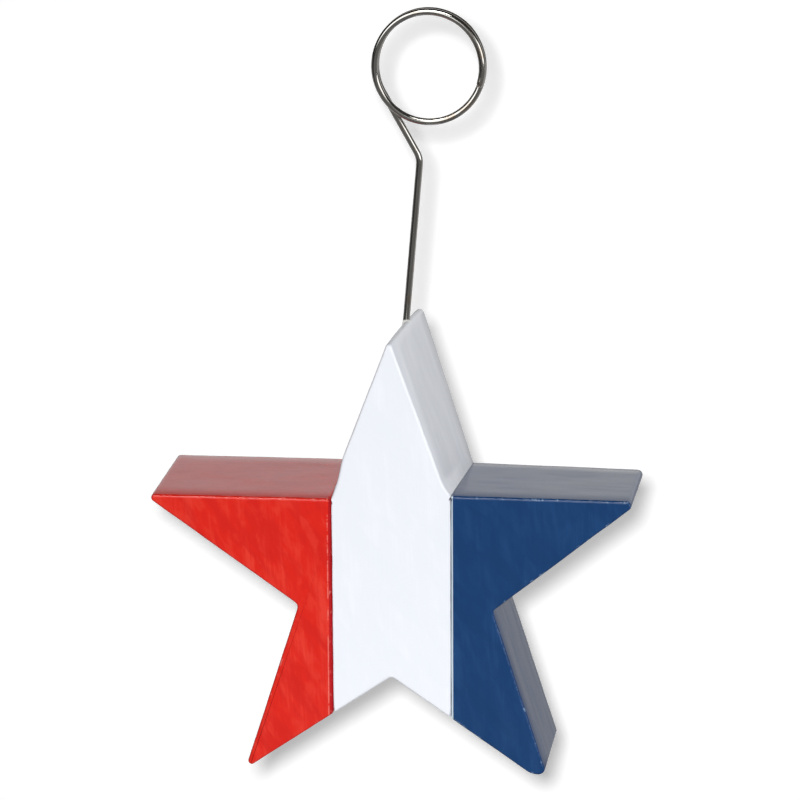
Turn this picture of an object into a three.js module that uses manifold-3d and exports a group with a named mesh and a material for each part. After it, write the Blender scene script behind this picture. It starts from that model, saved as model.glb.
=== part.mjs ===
// Balloon weight: a thick five-pointed star of three painted blocks that stands on its two lower
// points, with a bent wire clip glued into the top point. The front faces -Y and +Z is up. The
// origin is on the floor, under the middle of the star. Lengths are in millimetres.
import * as THREE from 'three';
import * as BufferGeometryUtils from 'three/addons/utils/BufferGeometryUtils.js';
import Module from 'manifold-3d';

// Star outline, to the sharp corners, seen from the front
const thickness = 31.75;
const armReach = 53.2;
const armTopHeight = 59.3;
const apexHeight = 96.2;
const waistHalfWidth = 20;
const waistHeight = 35.5;
const crotchHeight = 20.7;
const legReach = 33;
const legTipDepth = 1.8;
const seamHalfSpacing = 12.7;

// Rounding of the star's corners and of all the long edges of its blocks
const armTipRound = 0.9;
const apexRound = 1.3;
const footRound = 0.8;
const innerCornerRound = 1.2;
const shoulderRound = 8;
const seamCornerRound = 0.9;
const edgeRound = 0.65;

// Wire clip: a straight stem, one bend, a straight leg and a ring of a little over one and a half
// turns. The ring isn't quite round: its radius is longer by ringOval up and down than on average,
// and shorter by as much to the sides.
const wireDiameter = 1.45;
const ringDiameter = 24.45;
const ringOval = 0.15;
const ringHeightOverBend = 19.75;
const ringRightOfStem = 0.4;
const bendHeight = 34.7;
const bendRadius = 4.7;
const turnGap = 0.5;
const wholeTurns = 1;
const ringFreeEndAngle = -15;

// How the clip is set in the star
const stemLean = 5.05;
const stemRightOfMiddle = 0.6;
const stemBehindMiddle = 4.2;
const tailLength = 16;
const holeClearance = 0.2;
const holeSpareDepth = 0.6;
const drillPointAngle = 118;

// White glue drawn up round the wire where it leaves the star
const glueRadius = 1.4;
const glueHeight = 0.8;
const glueSkirtDepth = 0.8;
const glueClearance = 0.2;

// Fineness of the curved surfaces; a shape's arc gets twice its curveSegments
const cornerSegments = 6;
const edgeSegments = 4;
const holeSegments = 24;
const domeSegments = 6;
const wireSides = 12;
const bendSteps = 6;
const stepsPerTurn = 40;

// Roundings no smaller than this keep an arc, and points nearer than the weld distance are one
const leastRound = 0.05;
const weldDistance = 1e-4;

// The wire's gap to itself is measured between points past its own stretch of so many diameters
const gapPointsPerStation = 8;
const ownStretchDiameters = 5;

const radians = THREE.MathUtils.degToRad;
const wireRadius = wireDiameter / 2;

const wasm = await Module();
wasm.setup();

// A geometry as a solid that can be cut
function solidOf(geometry) {
  const bare = geometry.clone();
  bare.deleteAttribute('normal');
  bare.deleteAttribute('uv');
  const merged = BufferGeometryUtils.mergeVertices(bare, weldDistance);
  return new wasm.Manifold(new wasm.Mesh({
    numProp: 3,
    vertProperties: new Float32Array(merged.attributes.position.array),
    triVerts: new Uint32Array(merged.index.array),
  }));
}

// A cut solid as a geometry that can be shown
function geometryOf(solid) {
  const mesh = solid.getMesh();
  const geometry = new THREE.BufferGeometry();
  geometry.setAttribute('position', new THREE.BufferAttribute(mesh.vertProperties, 3));
  geometry.setIndex(new THREE.BufferAttribute(mesh.triVerts, 1));
  geometry.computeVertexNormals();
  return geometry;
}

function corner(x, z, round) {
  return { point: new THREE.Vector2(x, z), round };
}

function mirrored(corners) {
  return corners.map(({ point, round }) => corner(-point.x, point.y, round)).reverse();
}

// Where the straight edge between two points crosses a value of x or of z
function atX(from, to, x) {
  return from.clone().lerp(to, (x - from.x) / (to.x - from.x));
}

function atZ(from, to, z) {
  return from.clone().lerp(to, (z - from.y) / (to.y - from.y));
}

// Closed outline through the corners, anticlockwise, with an arc at each; grow moves it outward
function outline(corners, grow = 0) {
  const shape = new THREE.Shape();
  corners.forEach(({ point, round }, index) => {
    const before = corners.at(index - 1).point;
    const after = corners[(index + 1) % corners.length].point;
    const into = point.clone().sub(before).normalize();
    const away = after.clone().sub(point).normalize();
    const turn = Math.atan2(into.cross(away), into.dot(away));
    const outward = Math.sign(turn);
    const radius = Math.max(round + outward * grow, leastRound);
    const toCentre = (radius - outward * grow) / Math.cos(turn / 2);
    const inwardDirection = away.clone().sub(into).normalize();
    const centre = point.clone().addScaledVector(inwardDirection, toCentre);
    const start = Math.atan2(into.y, into.x) - outward * Math.PI / 2;
    shape.absarc(centre.x, centre.y, radius, start, start + turn, turn < 0);
  });
  return shape;
}

// Upright slab with the outline facing the front and all its long edges rounded
function slab(corners) {
  const geometry = new THREE.ExtrudeGeometry(outline(corners), {
    depth: thickness - 2 * edgeRound,
    bevelThickness: edgeRound,
    bevelSize: edgeRound,
    bevelOffset: -edgeRound,
    bevelSegments: edgeSegments,
    curveSegments: cornerSegments / 2,
  });
  geometry.rotateX(Math.PI / 2);
  geometry.translate(0, thickness / 2 - edgeRound, 0);
  return geometry;
}

// Star points that the blocks share
const crotch = new THREE.Vector2(0, crotchHeight);
const legTip = new THREE.Vector2(legReach, -legTipDepth);
const waist = new THREE.Vector2(waistHalfWidth, waistHeight);
const seamFoot = atX(crotch, legTip, seamHalfSpacing);

// Right arm and right leg, cut square at the floor
function sideBlockCorners() {
  const footInside = atZ(crotch, legTip, 0);
  const footOutside = atZ(waist, legTip, 0);
  return [
    corner(seamFoot.x, seamFoot.y, seamCornerRound),
    corner(footInside.x, footInside.y, footRound),
    corner(footOutside.x, footOutside.y, footRound),
    corner(waist.x, waist.y, innerCornerRound),
    corner(armReach, armTopHeight, armTipRound),
    corner(seamHalfSpacing, armTopHeight, seamCornerRound),
  ];
}

// Top arm and the middle of the star, down to the inner corner between the legs
function centreBlockCorners() {
  return [
    corner(-seamFoot.x, seamFoot.y, seamCornerRound),
    corner(crotch.x, crotch.y, innerCornerRound),
    corner(seamFoot.x, seamFoot.y, seamCornerRound),
    corner(seamHalfSpacing, armTopHeight, shoulderRound),
    corner(0, apexHeight, apexRound),
    corner(-seamHalfSpacing, armTopHeight, shoulderRound),
  ];
}

// Height of the rounded ridge along the top of the centre block
function ridgeHeight() {
  const halfAngle = Math.atan2(seamHalfSpacing, apexHeight - armTopHeight);
  return apexHeight - apexRound * (1 / Math.sin(halfAngle) - 1);
}

// The stem's own frame: its origin is where the wire meets the ridge, and its z runs up the stem
const stemFrame = new THREE.Matrix4()
  .makeRotationY(radians(stemLean))
  .setPosition(stemRightOfMiddle, stemBehindMiddle, ridgeHeight());

// Drilled hole for the wire's tail, open at the ridge, with the drill's point at its bottom
function drilledHole() {
  const radius = wireRadius + holeClearance;
  const floor = -tailLength - holeSpareDepth;
  const pointDepth = radius / Math.tan(radians(drillPointAngle / 2));
  const profile = [
    new THREE.Vector2(0, floor - pointDepth),
    new THREE.Vector2(radius, floor),
    new THREE.Vector2(radius, apexRound),
    new THREE.Vector2(0, apexRound),
  ];
  const geometry = new THREE.LatheGeometry(profile, holeSegments);
  geometry.rotateX(Math.PI / 2);
  geometry.applyMatrix4(stemFrame);
  return geometry;
}

function centreBlock() {
  const block = solidOf(slab(centreBlockCorners()));
  return geometryOf(block.subtract(solidOf(drilledHole())));
}

// Low dome of glue round the wire, sitting astride the ridge
function glueCollar() {
  const dome = new THREE.Path();
  dome.moveTo(0, -glueSkirtDepth);
  dome.lineTo(glueRadius, -glueSkirtDepth);
  dome.absellipse(0, 0, glueRadius, glueHeight, 0, Math.PI / 2);
  const domeGeometry = new THREE.LatheGeometry(dome.getPoints(domeSegments / 2), holeSegments);
  domeGeometry.rotateX(Math.PI / 2);
  domeGeometry.applyMatrix4(stemFrame);

  const boreRadius = wireRadius + glueClearance;
  const boreLength = 2 * (glueHeight + glueSkirtDepth);
  const bore = new THREE.CylinderGeometry(boreRadius, boreRadius, boreLength, holeSegments);
  bore.rotateX(Math.PI / 2);
  bore.applyMatrix4(stemFrame);

  const aroundBlock = new THREE.ExtrudeGeometry(outline(centreBlockCorners(), glueClearance), {
    depth: thickness,
    bevelEnabled: false,
    curveSegments: cornerSegments / 2,
  });
  aroundBlock.rotateX(Math.PI / 2);
  aroundBlock.translate(0, thickness / 2, 0);

  const solid = solidOf(domeGeometry).subtract(solidOf(bore)).subtract(solidOf(aroundBlock));
  return geometryOf(solid);
}

// Route through a list of stations, close together on bends and far apart on straights
class StationRoute extends THREE.Curve {
  constructor(stations) {
    super();
    this.stations = stations;
  }

  getUtoTmapping(share) {
    return share;
  }

  getPoint(share, target = new THREE.Vector3()) {
    const last = this.stations.length - 1;
    const index = Math.min(Math.floor(share * last), last - 1);
    return target.lerpVectors(this.stations[index], this.stations[index + 1], share * last - index);
  }
}

// Stations of the wire in the stem's frame, from the buried end to the ring's free end. The leg runs
// into the ring along its tangent.
function wireStations() {
  const ringRadius = (ringDiameter - wireDiameter) / 2;
  const ringCentreHeight = bendHeight + ringHeightOverBend;
  const bendToCentre = Math.hypot(ringHeightOverBend, ringRightOfStem);
  const legLean = Math.asin(ringRadius / bendToCentre) - Math.atan2(ringRightOfStem, ringHeightOverBend);
  const bendCut = bendRadius * Math.tan(legLean / 2);
  const stations = [new THREE.Vector3(0, 0, -tailLength)];
  for (let step = 0; step <= bendSteps; step += 1) {
    const angle = legLean * step / bendSteps;
    stations.push(new THREE.Vector3(
      -bendRadius * (1 - Math.cos(angle)),
      0,
      bendHeight - bendCut + bendRadius * Math.sin(angle),
    ));
  }
  const startAngle = Math.PI + legLean;
  const sweep = startAngle + 2 * Math.PI * wholeTurns - radians(ringFreeEndAngle);
  const pitch = wireDiameter + turnGap;
  const steps = Math.ceil(stepsPerTurn * sweep / (2 * Math.PI));
  for (let step = 0; step <= steps; step += 1) {
    const swept = sweep * step / steps;
    const angle = startAngle - swept;
    const radius = ringRadius - ringOval * Math.cos(2 * angle);
    stations.push(new THREE.Vector3(
      ringRightOfStem + radius * Math.cos(angle),
      -pitch * swept / (2 * Math.PI),
      ringCentreHeight + radius * Math.sin(angle),
    ));
  }
  return stations;
}

// Least distance from the wire's surface to itself, past the stretch next to each point
function leastGap(route) {
  const points = route.getPoints(route.stations.length * gapPointsPerStation);
  const ownStretch = ownStretchDiameters * wireDiameter;
  let least = Infinity;
  let along = 0;
  const distances = points.map((point, index) => {
    along += index > 0 ? point.distanceTo(points[index - 1]) : 0;
    return along;
  });
  for (let first = 0; first < points.length; first += 1) {
    for (let second = first + 1; second < points.length; second += 1) {
      if (distances[second] - distances[first] > ownStretch) {
        least = Math.min(least, points[first].distanceTo(points[second]));
      }
    }
  }
  return least - wireDiameter;
}

function wireClip() {
  const route = new StationRoute(wireStations());
  console.log(`least gap of the wire to itself: ${leastGap(route).toFixed(2)} mm`);
  const section = new THREE.Shape().absarc(0, 0, wireRadius, 0, 2 * Math.PI);
  return new THREE.ExtrudeGeometry(section, {
    steps: route.stations.length - 1,
    extrudePath: route,
    curveSegments: wireSides / 2,
  });
}

// Gloss paint over a cast body, bare steel wire and set white glue
const redPaint = new THREE.MeshStandardMaterial({ color: 0xe12d21, roughness: 0.3, metalness: 0 });
const whitePaint = new THREE.MeshStandardMaterial({ color: 0xf6f9ff, roughness: 0.3, metalness: 0 });
const bluePaint = new THREE.MeshStandardMaterial({ color: 0x204876, roughness: 0.3, metalness: 0 });
const clipSteel = new THREE.MeshStandardMaterial({ color: 0x8a8782, roughness: 0.28, metalness: 1 });
const setGlue = new THREE.MeshStandardMaterial({ color: 0xf2f2ee, roughness: 0.35, metalness: 0 });

function namedMesh(name, geometry, material) {
  const mesh = new THREE.Mesh(geometry, material);
  mesh.name = name;
  return mesh;
}

const balloonWeight = new THREE.Group();
balloonWeight.add(namedMesh('left_block', slab(mirrored(sideBlockCorners())), redPaint));
balloonWeight.add(namedMesh('centre_block', centreBlock(), whitePaint));
balloonWeight.add(namedMesh('right_block', slab(sideBlockCorners()), bluePaint));
balloonWeight.add(namedMesh('glue_collar', glueCollar(), setGlue));

// The clip stands in the stem's frame
const clip = new THREE.Group();
clip.applyMatrix4(stemFrame);
clip.add(namedMesh('wire_clip', wireClip(), clipSteel));
balloonWeight.add(clip);

export default balloonWeight;
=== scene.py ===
import math

import bmesh
import bpy
from mathutils import Matrix, Vector, noise


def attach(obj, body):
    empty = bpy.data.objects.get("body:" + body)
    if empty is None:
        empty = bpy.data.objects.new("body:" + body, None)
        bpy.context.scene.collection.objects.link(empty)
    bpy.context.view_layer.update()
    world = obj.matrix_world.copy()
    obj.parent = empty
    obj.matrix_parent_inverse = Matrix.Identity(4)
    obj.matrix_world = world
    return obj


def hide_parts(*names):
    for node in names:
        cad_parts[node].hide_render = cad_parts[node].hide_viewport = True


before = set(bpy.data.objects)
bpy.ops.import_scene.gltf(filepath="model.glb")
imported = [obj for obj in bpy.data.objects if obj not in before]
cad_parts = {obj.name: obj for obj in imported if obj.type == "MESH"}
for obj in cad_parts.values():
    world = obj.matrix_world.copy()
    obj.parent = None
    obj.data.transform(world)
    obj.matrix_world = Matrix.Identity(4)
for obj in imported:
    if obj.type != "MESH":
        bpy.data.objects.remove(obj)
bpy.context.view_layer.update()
scene = bpy.context.scene
mm = 0.001
print("frame loaded:", sorted(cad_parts))


# Small helpers for node trees

class Signal:  # a node's output that can be used in sums
    def __init__(self, tree, socket):
        self.tree = tree
        self.socket = socket

    def maths(self, operation, other=None, swapped=False):
        values = [self] if other is None else [other, self] if swapped else [self, other]
        return self.tree.node("ShaderNodeMath", {"operation": operation}, dict(enumerate(values)))

    def __add__(self, other):
        return self.maths("ADD", other)

    def __radd__(self, other):
        return self.maths("ADD", other, True)

    def __sub__(self, other):
        return self.maths("SUBTRACT", other)

    def __rsub__(self, other):
        return self.maths("SUBTRACT", other, True)

    def __mul__(self, other):
        return self.maths("MULTIPLY", other)

    def __rmul__(self, other):
        return self.maths("MULTIPLY", other, True)

    def size(self):
        return self.maths("ABSOLUTE")


class Tree:  # a node tree with one way to add any node
    def __init__(self, owner):
        owner.use_nodes = True
        self.tree = owner.node_tree
        self.tree.nodes.clear()

    def node(self, kind, settings=None, inputs=None, output=0):
        made = self.tree.nodes.new(kind)
        for key, value in (settings or {}).items():
            setattr(made, key, value)
        for key, value in (inputs or {}).items():
            if isinstance(value, Signal):
                self.tree.links.new(value.socket, made.inputs[key])
            else:
                made.inputs[key].default_value = value
        return Signal(self, made.outputs[output]) if made.outputs else None

    def join(self, x, y, z):
        return self.node("ShaderNodeCombineXYZ", None, {0: x, 1: y, 2: z})

    def split(self, vector):  # its x, y and z
        split = self.node("ShaderNodeSeparateXYZ", None, {0: vector})
        return [Signal(self, output) for output in split.socket.node.outputs]

    def ramp(self, value, low, high, bottom=0.0, top=1.0):  # smooth step from bottom to top
        return self.node(
            "ShaderNodeMapRange",
            {"interpolation_type": "SMOOTHSTEP"},
            {"Value": value, "From Min": low, "From Max": high, "To Min": bottom, "To Max": top},
        )

    def noise(self, place, scale, layers, roughness, bend=0.0):
        return self.node("ShaderNodeTexNoise", {"noise_dimensions": "3D"}, {
            "Vector": place, "Scale": scale, "Detail": layers, "Roughness": roughness,
            "Distortion": bend,
        })

    def grain(self, place, size, layers, roughness):  # noise with lumps of this size
        return self.noise(place, 1 / (size * mm), layers, roughness)

    def mix(self, share, first, second):  # colours
        return self.node("ShaderNodeMix", {"data_type": "RGBA"}, {0: share, 6: first, 7: second}, 2)

    def bump(self, height):
        inputs = {"Height": height, "Distance": 1.0, "Strength": 1.0}
        return self.node("ShaderNodeBump", None, inputs)


def linear(red, green, blue):  # turns a colour as seen on screen, 0 to 255, into amounts of light
    def one(value):
        value /= 255
        return value / 12.92 if value <= 0.04045 else ((value + 0.055) / 1.055) ** 2.4
    return (one(red), one(green), one(blue), 1.0)


# Camera

camera = {
    "azimuth": 7.81,  # degrees
    "elevation": 13.31,
    "roll": 0.30,
    "distance": 1000,
    "target": (-0.28, 0, 76.8),
    "focalPixels": 4733,
    "imagePixels": 800,
    "sensorWidth": 36,
    "nearest": 50,
    "farthest": 20000,
}


def placeCamera():
    azimuth, elevation = math.radians(camera["azimuth"]), math.radians(camera["elevation"])
    roll = math.radians(camera["roll"])
    back = Vector((
        math.sin(azimuth) * math.cos(elevation),
        -math.cos(azimuth) * math.cos(elevation),
        math.sin(elevation),
    ))
    level = Vector((math.cos(azimuth), math.sin(azimuth), 0))
    upright = back.cross(level)
    right = level * math.cos(roll) - upright * math.sin(roll)
    up = level * math.sin(roll) + upright * math.cos(roll)
    data = bpy.data.cameras.new("camera")
    data.sensor_width = camera["sensorWidth"]
    data.lens = camera["focalPixels"] / camera["imagePixels"] * camera["sensorWidth"]
    data.clip_start = camera["nearest"] * mm
    data.clip_end = camera["farthest"] * mm
    holder = bpy.data.objects.new("camera", data)
    place = (Vector(camera["target"]) + back * camera["distance"]) * mm
    turn = Matrix((right, up, back)).transposed().to_4x4()
    holder.matrix_world = Matrix.Translation(place) @ turn
    scene.collection.objects.link(holder)
    scene.camera = holder


placeCamera()
print("camera placed")


def meshFrom(shape, name):
    mesh = bpy.data.meshes.new(name)
    shape.to_mesh(mesh)
    shape.free()
    return mesh


# The star

# Sharp corners as (x, z). The cast body isn't quite even, so front and back have their own.
star = {
    "thickness": 31.75,
    "front": {
        "apex": (-0.5, 93.65),
        "leftFlankHigh": (-10.4, 67.9), "leftFlankLow": (-11.5, 62.7),
        "rightFlankHigh": (8.9, 68.0), "rightFlankLow": (10.7, 62.8),
        "leftSeamTop": (-12.85, 58.95), "rightSeamTop": (12.45, 60.3),
        "leftTip": (-53.2, 58.8), "rightTip": (52.3, 60.2),
        "leftWaist": (-20.05, 35.5), "rightWaist": (21.35, 35.5),
        "leftLeg": (-31.9, -1.2), "rightLeg": (33.8, -3.1),
        "crotch": (-0.3, 20.4),
    },
    "back": {
        "apex": (2.2, 95.2),
        "leftFlankHigh": (-9.5, 67.9), "leftFlankLow": (-11.6, 62.7),
        "rightFlankHigh": (10.9, 68.0), "rightFlankLow": (12.6, 62.8),
        "leftSeamTop": (-12.9, 59.85), "rightSeamTop": (13.5, 59.8),
        "leftTip": (-53.55, 59.75), "rightTip": (52.2, 59.25),
        "leftWaist": (-20.3, 35.7), "rightWaist": (20.2, 35.7),
        "leftLeg": (-32.0, -1.5), "rightLeg": (32.6, -2.6),
        "crotch": (0.2, 20.7),
    },
    "leftSeamFootX": (-12.7, -12.9), "rightSeamFootX": (12.4, 13.2),  # front, back
    "ridgeCrown": 0.4,  # how far the top ridge bows up between its ends
    "rounds": {  # of the corners, front and back
        "apex": (0.75, 1.0), "leftFlankHigh": (12, 12), "leftFlankLow": (6, 6),
        "rightFlankHigh": (14, 14), "rightFlankLow": (10, 10),
        "leftSeamTop": (0.9, 0.9), "rightSeamTop": (0.2, 0.1),
        "leftTip": (0.9, 1.1), "rightTip": (1.12, 1.12),
        "leftWaist": (1.2, 1.2), "rightWaist": (0.9, 0.9), "crotch": (1.2, 1.4),
        "leftFootIn": (0.9, 0.9), "leftFootOut": (0.8, 0.8),
        "rightFootIn": (4.2, 1.0), "rightFootOut": (1.35, 0.4),
        "leftSeamFoot": (1.2, 0.9), "rightSeamFoot": (0.9, 0.9),
    },
    "centreSeamFoot": 0.35,  # the centre block's own corners where the seams end below
    "edgeRound": 0.8,  # the long edges round the front and back faces
    "seamRounds": {"left": 1.1, "centre": 0.45, "right": 0.35},  # the same along each block's seams
    "leastRound": 0.06,
    "arcSteps": 7,  # round each corner
    "edgeSteps": 8,  # rows round each long edge
    "alongStep": 1.2,  # between points on the straights
    "acrossRows": 18,  # from the front edge to the back edge
    "wobble": 0.07,  # how far the hand-smoothed edges wander
    "wobbleLength": 7,
    "wobbleInward": 0.9,  # moves the waves inward, so that the star stays inside its sharp outline
    "wobbleOffEdge": 0.35,  # the waves' share in the middle of the flanks
    "wobbleFineness": 2.7,  # the waves on the waves are this many times shorter
    "wobbleFineShare": 0.5,
    "floorMargin": 0.05,  # points this near the floor stay on it
    "evenShading": 90,  # how much more a large face counts than a small one in the shading
}


def starCorner(name, share):  # share is 0 on the front face and 1 on the back face
    front, back = Vector(star["front"][name]), Vector(star["back"][name])
    spot = front.lerp(back, share)
    if name == "apex":
        spot.y += star["ridgeCrown"] * 4 * share * (1 - share)
    return spot


def cornerRound(block, name, share):
    if block == "centre" and name.endswith("SeamFoot"):
        return star["centreSeamFoot"]
    front, back = star["rounds"][name]
    return front + (back - front) * share


def crossing(start, end, axis, value):  # where an edge meets x = value (0) or z = value (1)
    return start.lerp(end, (value - start[axis]) / (end[axis] - start[axis]))


def blockCorners(block, share):  # the block's corners, anticlockwise seen from the front
    def seamFoot(side):
        front, back = star[side + "SeamFootX"]
        above, below = starCorner("crotch", share), starCorner(side + "Leg", share)
        return side + "SeamFoot", crossing(above, below, 0, front * (1 - share) + back * share)

    def foot(side, part):
        above = starCorner("crotch" if part == "In" else side + "Waist", share)
        below = starCorner(side + "Leg", share)
        return side + "Foot" + part, crossing(above, below, 1, 0)

    def plain(*names):
        return [(name, starCorner(name, share)) for name in names]

    if block == "left":
        corners = plain("leftSeamTop", "leftTip", "leftWaist")
        return [seamFoot("left")] + corners + [foot("left", "Out"), foot("left", "In")]
    if block == "right":
        corners = plain("rightWaist", "rightTip", "rightSeamTop")
        return [seamFoot("right"), foot("right", "In"), foot("right", "Out")] + corners
    return [seamFoot("left")] + plain("crotch") + [seamFoot("right")] + plain(
        "rightSeamTop", "rightFlankLow", "rightFlankHigh", "apex",
        "leftFlankHigh", "leftFlankLow", "leftSeamTop",
    )


def edgeIsSeam(first, second):
    return {first, second} in ({"leftSeamFoot", "leftSeamTop"}, {"rightSeamFoot", "rightSeamTop"})


def pulledCorner(spot, normals, pulls):  # the corner after its two edges are pulled inward
    first, second = normals
    firstLevel = spot.dot(first) + pulls[0]
    secondLevel = spot.dot(second) + pulls[1]
    cross = first.x * second.y - first.y * second.x
    if abs(cross) < 1e-6:  # the two edges lie in one line
        return spot + second * pulls[1]
    return Vector((
        (firstLevel * second.y - secondLevel * first.y) / cross,
        (first.x * secondLevel - second.x * firstLevel) / cross,
    ))


def cornerArc(before, spot, after, rounding, pull, edgeRadii):
    # Points of the rounded corner, each with its edge radius. Pulled in, an outer corner tightens.
    into, away = (spot - before).normalized(), (after - spot).normalized()
    turn = math.atan2(into.x * away.y - into.y * away.x, into.dot(away))
    outward = 1 if turn > 0 else -1
    first, second = edgeRadii
    radius = max(rounding - outward * pull * (first + second) / 2, star["leastRound"])
    centre = spot + (away - into).normalized() * (radius / math.cos(turn / 2))
    start = math.atan2(into.y, into.x) - outward * math.pi / 2
    arc = []
    for step in range(star["arcSteps"] + 1):
        turned = step / star["arcSteps"]
        angle = start + turn * turned
        point = centre + Vector((math.cos(angle), math.sin(angle))) * radius
        arc.append((point, first + (second - first) * turned))
    return arc


def outlinePoints(block, share, pull, counts=None):
    # Points round the block's outline, with every edge pulled inward by pull times its own radius.
    # Each point comes with the edge radius that applies there. counts keeps all rows alike.
    names, spots = zip(*blockCorners(block, share))
    total = len(spots)
    radii, normals = [], []
    for index in range(total):
        following = (index + 1) % total
        seam = edgeIsSeam(names[index], names[following])
        radii.append(star["seamRounds"][block] if seam else star["edgeRound"])
        along = (spots[following] - spots[index]).normalized()
        normals.append(Vector((-along.y, along.x)))
    pulled = []
    for index, spot in enumerate(spots):
        pulls = pull * radii[index - 1], pull * radii[index]
        pulled.append(pulledCorner(spot, (normals[index - 1], normals[index]), pulls))
    arcs = []
    for index, name in enumerate(names):
        around = pulled[index - 1], pulled[index], pulled[(index + 1) % total]
        rounding = cornerRound(block, name, share)
        arcs.append(cornerArc(*around, rounding, pull, (radii[index - 1], radii[index])))
    straights = [(arcs[index][-1][0], arcs[(index + 1) % total][0][0]) for index in range(total)]
    if counts is None:
        counts = [
            max(2, round((end - start).length / star["alongStep"])) for start, end in straights
        ]
    points = []
    for arc, (start, end), radius, count in zip(arcs, straights, radii, counts):
        points += arc
        points += [(start.lerp(end, step / count), radius) for step in range(1, count)]
    return points, counts


def rowDepth(part, amount, radius):  # the y of a row's points that have this edge radius
    half = star["thickness"] / 2
    if part == "side":
        return -half + radius + (star["thickness"] - 2 * radius) * amount
    depth = -half + radius * (1 - math.cos(amount))
    return depth if part == "front" else -depth


def blockMesh(name, block):
    _, counts = outlinePoints(block, 0.5, 0)
    steps = star["edgeSteps"]
    # Rows from front to back: the part, and the angle round its edge or the share of the side
    rows = [("front", math.pi / 2 * step / steps) for step in range(steps + 1)]
    rows += [("side", step / star["acrossRows"]) for step in range(1, star["acrossRows"])]
    rows += [("back", math.pi / 2 * step / steps) for step in range(steps, -1, -1)]
    shape = bmesh.new()
    edgeMiddle = shape.verts.layers.float.new("edgeMiddle")
    grid = []
    for part, amount in rows:
        pull = 0 if part == "side" else 1 - math.sin(amount)
        wearAndHighlight = 0 if part == "side" else math.sin(2 * amount)  # most halfway round the edge
        share = rowDepth(part, amount, star["edgeRound"]) / star["thickness"] + 0.5
        points, _ = outlinePoints(block, share, pull, counts)
        row = []
        for spot, radius in points:
            y = rowDepth(part, amount, radius)
            vertex = shape.verts.new(Vector((spot.x, y, spot.y)) * mm)
            vertex[edgeMiddle] = wearAndHighlight
            row.append(vertex)
        grid.append(row)
    across = len(grid[0])
    for first, second in zip(grid, grid[1:]):
        for index in range(across):
            following = (index + 1) % across
            shape.faces.new((first[index], first[following], second[following], second[index]))
    shape.faces.new(list(reversed(grid[0])))
    shape.faces.new(grid[-1])
    bmesh.ops.recalc_face_normals(shape, faces=shape.faces)
    wander(shape)
    for face in shape.faces:
        face.smooth = True
    return meshFrom(shape, name)


def wander(shape):  # the edges were smoothed by hand, so they aren't dead straight
    shape.normal_update()
    edgeWidth = 2 * star["edgeRound"]
    reach = star["thickness"] / 2 - edgeWidth
    moves = []
    for vertex in shape.verts:
        nearEdge = min(1, max(0, (abs(vertex.co.y) / mm - reach) / edgeWidth))
        share = star["wobbleOffEdge"] + (1 - star["wobbleOffEdge"]) * nearEdge
        spot = vertex.co / mm / star["wobbleLength"]
        fine = noise.noise(spot * star["wobbleFineness"] + Vector((5, 3, 1)))
        offset = noise.noise(spot) + star["wobbleFineShare"] * fine - star["wobbleInward"]
        direction = Vector((vertex.normal.x, 0, vertex.normal.z))
        moves.append((vertex, direction * offset * star["wobble"] * mm * share))
    for vertex, move in moves:
        onFloor = abs(vertex.co.z) < star["floorMargin"] * mm
        vertex.co += Vector((move.x, 0, 0)) if onFloor else move
        vertex.co.z = max(vertex.co.z, 0)


def addPiece(name, mesh, node, material):
    piece = bpy.data.objects.new(name, mesh)
    scene.collection.objects.link(piece)
    piece.data.materials.append(material)
    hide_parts(node)
    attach(piece, "root")
    return piece


# Paint

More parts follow.
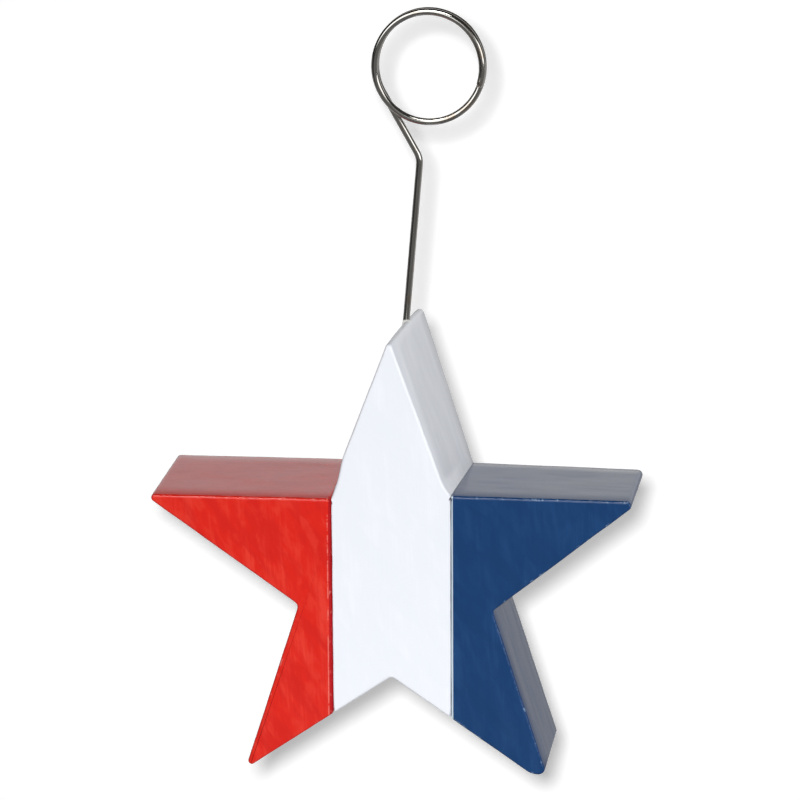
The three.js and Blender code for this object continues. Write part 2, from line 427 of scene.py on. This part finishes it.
# A range says between which two values something sets in
paints = {
    "red": {
        "base": linear(220, 36, 24),
        "light": linear(228, 58, 44), "dark": linear(208, 32, 24),
        # the edge tone stands for worn paint and a painted highlight along the rounded edges
        "edgeWearAndHighlight": linear(246, 168, 156), "edgeWearAndHighlightShare": 0.3, "mottling": 0.55,
        "seam": (-13.5, -13.35, linear(176, 18, 30), 0.85),  # painted shade: a dark crimson band where the edge rolls into the seam; from x, to x, colour, share
        "seamHighlightLine": (-13.85, -13.65, -13.45, 0.42),  # painted highlight line along the seam edge: from x, middle, to x, share
    },
    "white": {
        "base": linear(238, 241, 248),
        "light": linear(241, 244, 250), "dark": linear(236, 240, 247),
        "edgeWearAndHighlight": linear(214, 218, 222), "edgeWearAndHighlightShare": 0.12, "mottling": 0.2,
    },
    "blue": {
        "base": linear(20, 60, 108),
        "light": linear(25, 66, 115), "dark": linear(18, 56, 102),
        # the edge tone stands for worn paint and a painted highlight along the rounded edges
        "edgeWearAndHighlight": linear(140, 168, 196), "edgeWearAndHighlightShare": 0.5, "mottling": 0.35,
        # a pale band along the edge next to the seam: from x, to x, colour, share
        "seam": (12.95, 12.8, linear(206, 222, 232), 0.9),
    },
    "frontRange": (0.6, 0.9),  # how squarely a surface faces forwards to be painted as a front
    "seamFrontRange": (0.05, 0.3),  # the same for the bands along the seams
    # Brush strokes: width, length, slant, layers of finer strokes
    "bristles": (0.4, 12, 0.05, 2),
    "streaks": (3.2, 15, 0.1, 3),
    "patches": (5.12, 15, 0.8, 2),
    "mottles": (1.9, 4.6, 0.35, 4),
    "strokeRoughness": 0.55,
    "strokeBend": 0.4,
    "sidePlace": 3.7,  # picks the strokes of the sides
    "bristleShare": 0.25,
    "streakRange": (0.46, 0.66),
    "patchRange": (0.54, 0.36),
    "patchShare": 0.6,
    "mottleRanges": {"light": (0.5, 0.68), "dark": (0.5, 0.34)},
    # Unevenness: size, layers of finer unevenness, roughness of these
    "specks": (0.5, 2, 0.6),
    "dashes": (2.2, 3, 0.7),  # breaks the edge marks, worn paint and painted highlight, into dashes
    "waves": (9, 1, 0.5),
    "drips": (1.3, 2, 0.5),  # on the rounded edges
    "edgeMiddleRange": (0.55, 0.95),
    "dashRange": (0.56, 0.66),
    "seamDashRange": (0.42, 0.52),
    "bristleHeight": 0.01,
    "speckHeight": 0.002,
    "waveHeight": 0.05,
    "dripHeight": 0.12,
    "crownFrom": 10,  # from this far off their middle, the flanks fall off to the front and back
    "crownDrop": 0.36,
    "roughness": 0.17,
    "strokeDulling": 0.48,
    "speckDulling": 0.12,
    "edgeWearAndHighlightDulling": 0.25,
    "refraction": 1.5,
}


def paintMaterial(colourName):
    colour = paints[colourName]
    material = bpy.data.materials.new(colourName + " gloss paint")
    tree = Tree(material)
    place = tree.node("ShaderNodeTexCoord", output="Object")
    x, y, z = tree.split(place)
    nx, ny, nz = tree.split(tree.node("ShaderNodeTexCoord", output="Normal"))
    onFace = tree.ramp(ny.size(), *paints["frontRange"])  # 1 on the front and back, 0 on the sides

    # Brush strokes run down the front and back, and along the outline on the sides
    along = x * nz - z * nx

    def strokes(width, length, slant, layers):
        across, down = 1 / (width * mm), 1 / (length * mm)
        placeOnFront = tree.join((x + z * slant) * across, y * across, z * down)
        placeOnSide = tree.join(y * across, along * down, paints["sidePlace"])
        look = layers, paints["strokeRoughness"], paints["strokeBend"]
        onFront, onSide = tree.noise(placeOnFront, 1, *look), tree.noise(placeOnSide, 1, *look)
        return onFront * onFace + onSide * (1 - onFace)

    bristles = strokes(*paints["bristles"])
    stroke = strokes(*paints["streaks"]) * (1 - paints["bristleShare"])
    stroke = stroke + bristles * paints["bristleShare"]
    patches = strokes(*paints["patches"])
    mottles = strokes(*paints["mottles"])
    specks = tree.grain(place, *paints["specks"])

    shade = tree.mix(tree.ramp(stroke, *paints["streakRange"]), colour["base"], colour["light"])
    patched = tree.ramp(patches, *paints["patchRange"]) * paints["patchShare"]
    shade = tree.mix(patched, shade, colour["dark"])
    for tone, toneRange in paints["mottleRanges"].items():
        mottled = tree.ramp(mottles, *toneRange) * colour["mottling"]
        shade = tree.mix(mottled, shade, colour[tone])

    # Along the seam the red gets a band of painted shade, and the blue a pale band along its edge
    fromFront = tree.ramp(ny.size(), *paints["seamFrontRange"])  # 0 only on the sides
    if "seam" in colour:
        # on the red this band is painted shade, where the edge turns into the seam
        seamStart, seamEnd, seamColour, seamShare = colour["seam"]
        band = tree.ramp(x, seamStart * mm, seamEnd * mm) * fromFront
        shade = tree.mix(band * seamShare, shade, seamColour)

    # Pale broken dashes along the rounded edges: partly paint rubbed thin, partly a painted
    # highlight
    edgeMiddle = tree.node("ShaderNodeAttribute", {"attribute_name": "edgeMiddle"}, output="Fac")
    dashes = tree.grain(place, *paints["dashes"])
    wearAndHighlight = tree.ramp(edgeMiddle, *paints["edgeMiddleRange"]) * tree.ramp(dashes, *paints["dashRange"])
    wearAndHighlight = wearAndHighlight * colour["edgeWearAndHighlightShare"]
    shade = tree.mix(wearAndHighlight, shade, colour["edgeWearAndHighlight"])
    # A painted highlight line along the red's seam edge, in the edge tone
    if "seamHighlightLine" in colour:
        lineStart, lineMiddle, lineEnd, lineShare = colour["seamHighlightLine"]
        highlightLine = tree.ramp(x, lineStart * mm, lineMiddle * mm)
        highlightLine = highlightLine * tree.ramp(x, lineEnd * mm, lineMiddle * mm)
        highlightLine = highlightLine * tree.ramp(dashes, *paints["seamDashRange"]) * fromFront
        shade = tree.mix(highlightLine * lineShare, shade, colour["edgeWearAndHighlight"])

    # How the paint stands up and lies down, and how dull it is
    waves = tree.grain(place, *paints["waves"])
    drips = tree.grain(place, *paints["drips"])
    crownWidth = star["thickness"] / 2 - paints["crownFrom"]
    past = ((y.size() - paints["crownFrom"] * mm) * (1 / (crownWidth * mm))).maths("MAXIMUM", 0)
    height = bristles * paints["bristleHeight"] + waves * paints["waveHeight"]
    height = height - past * past * paints["crownDrop"]
    height = (height + drips * edgeMiddle * paints["dripHeight"] + specks * paints["speckHeight"]) * mm
    bump = tree.bump(height)
    shine = paints["roughness"] + (specks - 0.5) * paints["speckDulling"]
    shine = shine + wearAndHighlight * paints["edgeWearAndHighlightDulling"] + (stroke - 0.5) * paints["strokeDulling"]
    surface = tree.node("ShaderNodeBsdfPrincipled", None, {
        "Base Color": shade, "Roughness": shine, "Normal": bump, "IOR": paints["refraction"],
    })
    tree.node("ShaderNodeOutputMaterial", None, {"Surface": surface})
    return material


for block, node, colourName in (
    ("left", "left_block", "red"),
    ("centre", "centre_block", "white"),
    ("right", "right_block", "blue"),
):
    mesh, paint = blockMesh(block + " star block", block), paintMaterial(colourName)
    piece = addPiece(block + "_star_block", mesh, node, paint)
    even = piece.modifiers.new("even shading", "WEIGHTED_NORMAL")  # keeps the large faces flat
    even.keep_sharp = False
    even.weight = star["evenShading"]
print("star made")


# The wire clip

clip = {
    "wireDiameter": 1.45,
    "ringDiameter": 24.45,
    "ringOval": 0.15,  # the radius is longer up and down by this much, and shorter to the sides
    "ringHeightOverBend": 19.75,
    "ringRightOfStem": 0.4,
    "bendHeight": 34.7,
    "bendRadius": 4.7,
    "turnGap": 0.35,
    "freeEndAngle": -15,  # degrees, seen from the front
    "lean": 5.05,  # degrees, of the stem to the right
    "foot": (0.6, 4.2, 93.47),  # where the wire leaves the star
    "tail": 16,  # buried in the star
    "sides": 28,
    "stemSteps": 40,
    "bendSteps": 12,
    "legSteps": 14,
    "stepsPerTurn": 120,
    "endRound": 0.25,
}


def clipRoute():  # points along the wire in its own frame, from the buried end to the free end
    ringRadius = (clip["ringDiameter"] - clip["wireDiameter"]) / 2
    centreHeight = clip["bendHeight"] + clip["ringHeightOverBend"]
    toCentre = math.hypot(clip["ringHeightOverBend"], clip["ringRightOfStem"])
    legLean = math.asin(ringRadius / toCentre)
    legLean -= math.atan2(clip["ringRightOfStem"], clip["ringHeightOverBend"])
    bendRadius, tail = clip["bendRadius"], clip["tail"]
    bendStart = clip["bendHeight"] - bendRadius * math.tan(legLean / 2)
    stemSteps, bendSteps, legSteps = clip["stemSteps"], clip["bendSteps"], clip["legSteps"]
    stemLength = bendStart + tail
    route = [Vector((0, 0, -tail + stemLength * step / stemSteps)) for step in range(stemSteps)]
    for step in range(bendSteps + 1):
        angle = legLean * step / bendSteps
        x, z = -bendRadius * (1 - math.cos(angle)), bendStart + bendRadius * math.sin(angle)
        route.append(Vector((x, 0, z)))
    startAngle = math.pi + legLean
    sweep = startAngle + 2 * math.pi - math.radians(clip["freeEndAngle"])
    pitch = clip["wireDiameter"] + clip["turnGap"]
    steps = math.ceil(clip["stepsPerTurn"] * sweep / (2 * math.pi))
    ring = []
    for step in range(steps + 1):
        swept = sweep * step / steps
        angle = startAngle - swept
        radius = ringRadius - clip["ringOval"] * math.cos(2 * angle)
        x = clip["ringRightOfStem"] + radius * math.cos(angle)
        z = centreHeight + radius * math.sin(angle)
        ring.append(Vector((x, -pitch * swept / (2 * math.pi), z)))
    legStart = route[-1]
    route += [legStart.lerp(ring[0], step / legSteps) for step in range(1, legSteps)]
    return route + ring


def clipMesh():
    route = clipRoute()
    turn = Matrix.Rotation(math.radians(clip["lean"]), 4, "Y")
    place = Matrix.Translation(clip["foot"]) @ turn
    radius, endRound, sides = clip["wireDiameter"] / 2, clip["endRound"], clip["sides"]
    shape = bmesh.new()
    layer = shape.loops.layers.uv.new("UVMap")  # round the wire and along it
    away = Vector((0, 1, 0))
    rings, lengths = [], []
    run = 0
    total = sum((second - first).length for first, second in zip(route, route[1:]))
    for index, spot in enumerate(route):
        before, after = route[max(index - 1, 0)], route[min(index + 1, len(route) - 1)]
        forward = (after - before).normalized()
        away = (away - forward * away.dot(forward)).normalized()
        other = forward.cross(away)
        if index:
            run += (spot - route[index - 1]).length
        fromEnd = min(run, total - run)
        size = radius
        if fromEnd < endRound:
            size = radius - endRound + math.sqrt(endRound ** 2 - (endRound - fromEnd) ** 2)
        ring = []
        for side in range(sides):
            angle = 2 * math.pi * side / sides
            point = spot + (away * math.cos(angle) + other * math.sin(angle)) * size
            ring.append(shape.verts.new((place @ point) * mm))
        rings.append(ring)
        lengths.append(run)
    for first, second, start, end in zip(rings, rings[1:], lengths, lengths[1:]):
        for side in range(sides):
            following = (side + 1) % sides
            face = shape.faces.new((first[side], first[following], second[following], second[side]))
            corners = ((side, start), (side + 1, start), (side + 1, end), (side, end))
            for loop, (turned, along) in zip(face.loops, corners):
                loop[layer].uv = (turned / sides, along)
    shape.faces.new(list(reversed(rings[0])))
    shape.faces.new(rings[-1])
    bmesh.ops.recalc_face_normals(shape, faces=shape.faces)
    for face in shape.faces:
        face.smooth = len(face.verts) == 4  # all but the two flat ends
    return meshFrom(shape, "wire clip")


steel = {
    "bright": linear(210, 208, 204), "dull": linear(184, 180, 172), "warm": linear(186, 156, 122),
    "linesRound": 26,  # the lines left by drawing run along the wire
    "lineStretch": 0.12,
    "lineLook": (3, 0.6),  # layers of finer lines, roughness
    "lineRange": (0.35, 0.7),
    "lineHeight": 0.004,
    "stains": (3.5, 3, 0.55),  # size, layers, roughness
    "stainRange": (0.5, 0.75),
    "stainShare": 0.5,
    "stainHeight": 0.003,
    "roughness": 0.1,
    "dullRange": (0.45, 0.8),
    "dulling": 0.14,
}


def steelMaterial():
    material = bpy.data.materials.new("drawn steel wire")
    tree = Tree(material)
    roundWire, alongWire, _ = tree.split(tree.node("ShaderNodeTexCoord", output="UV"))
    place = tree.node("ShaderNodeTexCoord", output="Object")
    placeOnWire = tree.join(roundWire * steel["linesRound"], alongWire * steel["lineStretch"], 0.0)
    lines = tree.noise(placeOnWire, 1, *steel["lineLook"])
    stains = tree.grain(place, *steel["stains"])
    shade = tree.mix(tree.ramp(lines, *steel["lineRange"]), steel["bright"], steel["dull"])
    stained = tree.ramp(stains, *steel["stainRange"]) * steel["stainShare"]
    shade = tree.mix(stained, shade, steel["warm"])
    bump = tree.bump((lines * steel["lineHeight"] + stains * steel["stainHeight"]) * mm)
    dullness = steel["roughness"] + tree.ramp(stains, *steel["dullRange"]) * steel["dulling"]
    surface = tree.node("ShaderNodeBsdfPrincipled", None, {
        "Base Color": shade, "Metallic": 1.0, "Normal": bump, "Roughness": dullness,
    })
    tree.node("ShaderNodeOutputMaterial", None, {"Surface": surface})
    return material


addPiece("ribbon_clip", clipMesh(), "wire_clip", steelMaterial())
print("wire clip made")


# The glue where the wire enters

glue = {
    "radius": 0.95,
    "rise": 0.45,  # above its middle
    "drop": 1.1,  # below its middle
    "offset": (0.15, -0.55, -0.5),  # from where the wire leaves the star
    "segments": (36, 20),  # round, upright
    "lumps": 0.2,
    "lumpFineness": 1.6,
    "smallLumpFineness": 4,
    "smallLumpShare": 0.6,
    "colour": linear(250, 250, 248), "shaded": linear(226, 226, 220),
    "grain": (0.4, 3, 0.6),  # size, layers, roughness
    "grainRange": (0.4, 0.7),
    "grainHeight": 0.03,
    "roughness": 0.25,
    "grainDulling": 0.2,
}


def placeOnBead(spot):  # a number that grows upwards, and within a row round the bead
    return 1000 * spot.z + math.atan2(spot.y, spot.x)


def glueMesh():
    shape = bmesh.new()
    segmentsRound, segmentsUp = glue["segments"]
    bmesh.ops.create_uvsphere(shape, u_segments=segmentsRound, v_segments=segmentsUp, radius=1)
    shape.verts.sort(key=lambda vertex: placeOnBead(vertex.co))  # the same order each run
    shape.faces.sort(key=lambda face: placeOnBead(face.calc_center_median()))
    turn = Matrix.Rotation(math.radians(clip["lean"]), 4, "Y")
    place = Matrix.Translation(Vector(clip["foot"]) + Vector(glue["offset"])) @ turn
    for vertex in shape.verts:
        lump = noise.noise(vertex.co * glue["lumpFineness"] + Vector((2, 7, 4)))
        lump += glue["smallLumpShare"] * noise.noise(vertex.co * glue["smallLumpFineness"])
        x, y, z = vertex.co
        radius, rise = glue["radius"], glue["rise"] if z > 0 else glue["drop"]
        spot = Vector((x * radius, y * radius, z * rise)) * (1 + glue["lumps"] * lump)
        vertex.co = (place @ spot) * mm
    for face in shape.faces:
        face.smooth = True
    return meshFrom(shape, "glue bead")


def glueMaterial():
    material = bpy.data.materials.new("set white glue")
    tree = Tree(material)
    place = tree.node("ShaderNodeTexCoord", output="Object")
    grain = tree.grain(place, *glue["grain"])
    shade = tree.mix(tree.ramp(grain, *glue["grainRange"]), glue["colour"], glue["shaded"])
    bump = tree.bump(grain * glue["grainHeight"] * mm)
    dullness = glue["roughness"] + (grain - 0.5) * glue["grainDulling"]
    surface = tree.node("ShaderNodeBsdfPrincipled", None, {
        "Base Color": shade, "Roughness": dullness, "Normal": bump,
    })
    tree.node("ShaderNodeOutputMaterial", None, {"Surface": surface})
    return material


addPiece("glue_bead", glueMesh(), "glue_collar", glueMaterial())
print("glue made")


# Floor, backdrop card and light

studio = {
    "floorSize": 6000,
    "whiteShade": 0.98,
    "cardGlow": 0.22,  # the card shines a little, so that it is white where nothing shades it
    "cardBehind": 200,  # from the camera's target to the card that takes the soft shadow
    "cardSize": 420,
    "keyLeft": 12,  # the key lamp stands this far to the left of the camera and above it
    "keyAbove": 13.5,
    "keySize": 28,
    "keyPower": 8.0,
    "fillPower": 2.75,  # for the right flanks
    "fillPlace": (890, 80, 120),
    "fillSize": 500,
    "lowPower": 0.034,  # near the feet, where the photo is a little lighter
    "lowPlace": (0, -120, -50),
    "lowSize": 120,
    "roomLight": 0.18,  # what matt surfaces get from the room
    # What shiny surfaces see: softboxes (azimuth, elevation, half width, half height, strength),
    # then the rest of the room by side
    "softboxes": [(-25, 23, 26, 21, 2.0), (53, 9, 20, 12, 2.0), (-8, 52, 30, 4, 12.0)],
    "softboxEdge": 3,
    "frontRoom": 0.28,
    "leftRoom": 0.04, "leftRoomRange": (-60, -20),  # azimuth
    "rightRoom": 0.16, "rightRoomRange": (30, 80),
    "aboveRoom": 0.04, "aboveRoomRange": (12, 32),  # elevation
    "behindRoom": 0.83, "behindRoomRange": (0.75, 0.9), "behindRoomTop": (42, 30),
    "frontFloor": 0.16,
    "leftFloor": 0.04, "leftFloorRange": (-400, -150),  # from x to x
    "behindFloor": 0.4, "behindFloorRange": (-14, 4),  # from y to y
}


def setWorld():
    world = bpy.data.worlds.new("studio")
    scene.world = world
    tree = Tree(world)
    x, y, z = tree.split(tree.node("ShaderNodeTexCoord", output="Generated"))
    azimuth = x.maths("ARCTAN2", 0 - y) * math.degrees(1)
    elevation = z.maths("ARCSINE") * math.degrees(1)
    level = tree.ramp(azimuth, *studio["leftRoomRange"], studio["leftRoom"], studio["frontRoom"])
    darker = studio["rightRoom"] - studio["frontRoom"]
    level = level + tree.ramp(azimuth, *studio["rightRoomRange"], 0, darker)
    above = tree.ramp(elevation, *studio["aboveRoomRange"])
    level = level * (1 - above) + above * studio["aboveRoom"]
    behind = tree.ramp(y, *studio["behindRoomRange"])
    behind = behind * tree.ramp(elevation, *studio["behindRoomTop"])
    level = level * (1 - behind) + behind * studio["behindRoom"]
    for boxAzimuth, boxElevation, halfWidth, halfHeight, strength in studio["softboxes"]:
        edge = studio["softboxEdge"]
        across = tree.ramp((azimuth - boxAzimuth).size(), halfWidth + edge, halfWidth - edge)
        upright = tree.ramp((elevation - boxElevation).size(), halfHeight + edge, halfHeight - edge)
        level = level + across * upright * strength
    seen = tree.node("ShaderNodeLightPath", output="Is Camera Ray")
    glossy = tree.node("ShaderNodeLightPath", output="Is Glossy Ray")
    strength = level * glossy + (1 - glossy) * studio["roomLight"]
    strength = strength * (1 - seen) + seen
    light = tree.node("ShaderNodeBackground", None, {"Color": (1, 1, 1, 1), "Strength": strength})
    tree.node("ShaderNodeOutputWorld", None, {"Surface": light})


def addFlat(name, size, material):
    shape = bmesh.new()
    corners = [(-0.5, -0.5), (0.5, -0.5), (0.5, 0.5), (-0.5, 0.5)]
    shape.faces.new([shape.verts.new(Vector((x, y, 0)) * size * mm) for x, y in corners])
    flat = bpy.data.objects.new(name, meshFrom(shape, name))
    flat.data.materials.append(material)
    scene.collection.objects.link(flat)
    return flat


def whiteMaterial(name):
    material = bpy.data.materials.new(name)
    tree = Tree(material)
    shade = studio["whiteShade"]
    matt = tree.node("ShaderNodeBsdfDiffuse", None, {"Color": (shade, shade, shade, 1)})
    return material, tree, matt


def floorMaterial():  # shiny surfaces see it lighter behind the star and darker to its left
    material, tree, matt = whiteMaterial("white floor")
    glossy = tree.node("ShaderNodeLightPath", output="Is Glossy Ray")
    x, y, _ = tree.split(tree.node("ShaderNodeNewGeometry", output="Position"))
    leftEnd, leftStart = studio["leftFloorRange"]
    behindStart, behindEnd = studio["behindFloorRange"]
    left, front, behind = studio["leftFloor"], studio["frontFloor"], studio["behindFloor"]
    reflected = tree.ramp(x, leftEnd * mm, leftStart * mm, left, front)
    reflected = reflected + tree.ramp(y, behindStart * mm, behindEnd * mm, 0, behind - front)
    mirrored = tree.node("ShaderNodeEmission", None, {"Color": reflected, "Strength": 1.0})
    surface = tree.node("ShaderNodeMixShader", None, {0: glossy, 1: matt, 2: mirrored})
    tree.node("ShaderNodeOutputMaterial", None, {"Surface": surface})
    return material


def cardMaterial():  # seen from its front only
    material, tree, matt = whiteMaterial("white card")
    glow = tree.node("ShaderNodeEmission", None, {"Strength": studio["cardGlow"]})
    front = tree.node("ShaderNodeAddShader", None, {0: matt, 1: glow})
    fromBehind = tree.node("ShaderNodeNewGeometry", output="Backfacing")
    clear = tree.node("ShaderNodeBsdfTransparent")
    surface = tree.node("ShaderNodeMixShader", None, {0: fromBehind, 1: front, 2: clear})
    tree.node("ShaderNodeOutputMaterial", None, {"Surface": surface})
    return material


def addLamp(name, place, power, size):  # a round lamp that looks at the star
    data = bpy.data.lights.new(name, "AREA")
    data.shape = "DISK"
    data.size = size * mm
    data.energy = power
    lamp = bpy.data.objects.new(name, data)
    lamp.location = place * mm
    lamp.rotation_mode = "QUATERNION"
    lamp.rotation_quaternion = (place - Vector(camera["target"])).to_track_quat("Z", "Y")
    lamp.visible_glossy = False  # shiny surfaces see the world's softboxes instead
    scene.collection.objects.link(lamp)


def addFloor():  # only shiny surfaces see it, because the photo's shadow isn't on a level ground
    floor = addFlat("floor", studio["floorSize"], floorMaterial())
    floor.visible_camera = False
    floor.visible_shadow = False
    floor.visible_diffuse = False


def addCard():  # square to the camera; it takes the shadow, and neither lights nor hides anything
    turn = scene.camera.matrix_world.to_quaternion()
    toCamera = turn @ Vector((0, 0, 1))
    card = addFlat("card", studio["cardSize"], cardMaterial())
    card.rotation_mode = "QUATERNION"
    card.rotation_quaternion = turn
    card.location = (Vector(camera["target"]) - toCamera * studio["cardBehind"]) * mm
    card.visible_diffuse = False
    card.visible_glossy = False
    card.visible_transmission = False
    card.visible_shadow = False


def addLamps():
    fromTarget = Vector((-studio["keyLeft"], studio["keyAbove"], camera["distance"]))
    keyPlace = Vector(camera["target"]) + scene.camera.matrix_world.to_quaternion() @ fromTarget
    addLamp("key", keyPlace, studio["keyPower"], studio["keySize"])
    addLamp("fill", Vector(studio["fillPlace"]), studio["fillPower"], studio["fillSize"])
    addLamp("low", Vector(studio["lowPlace"]), studio["lowPower"], studio["lowSize"])


setWorld()
addFloor()
addCard()
addLamps()
scene.view_settings.view_transform = "Standard"
print("studio lit")
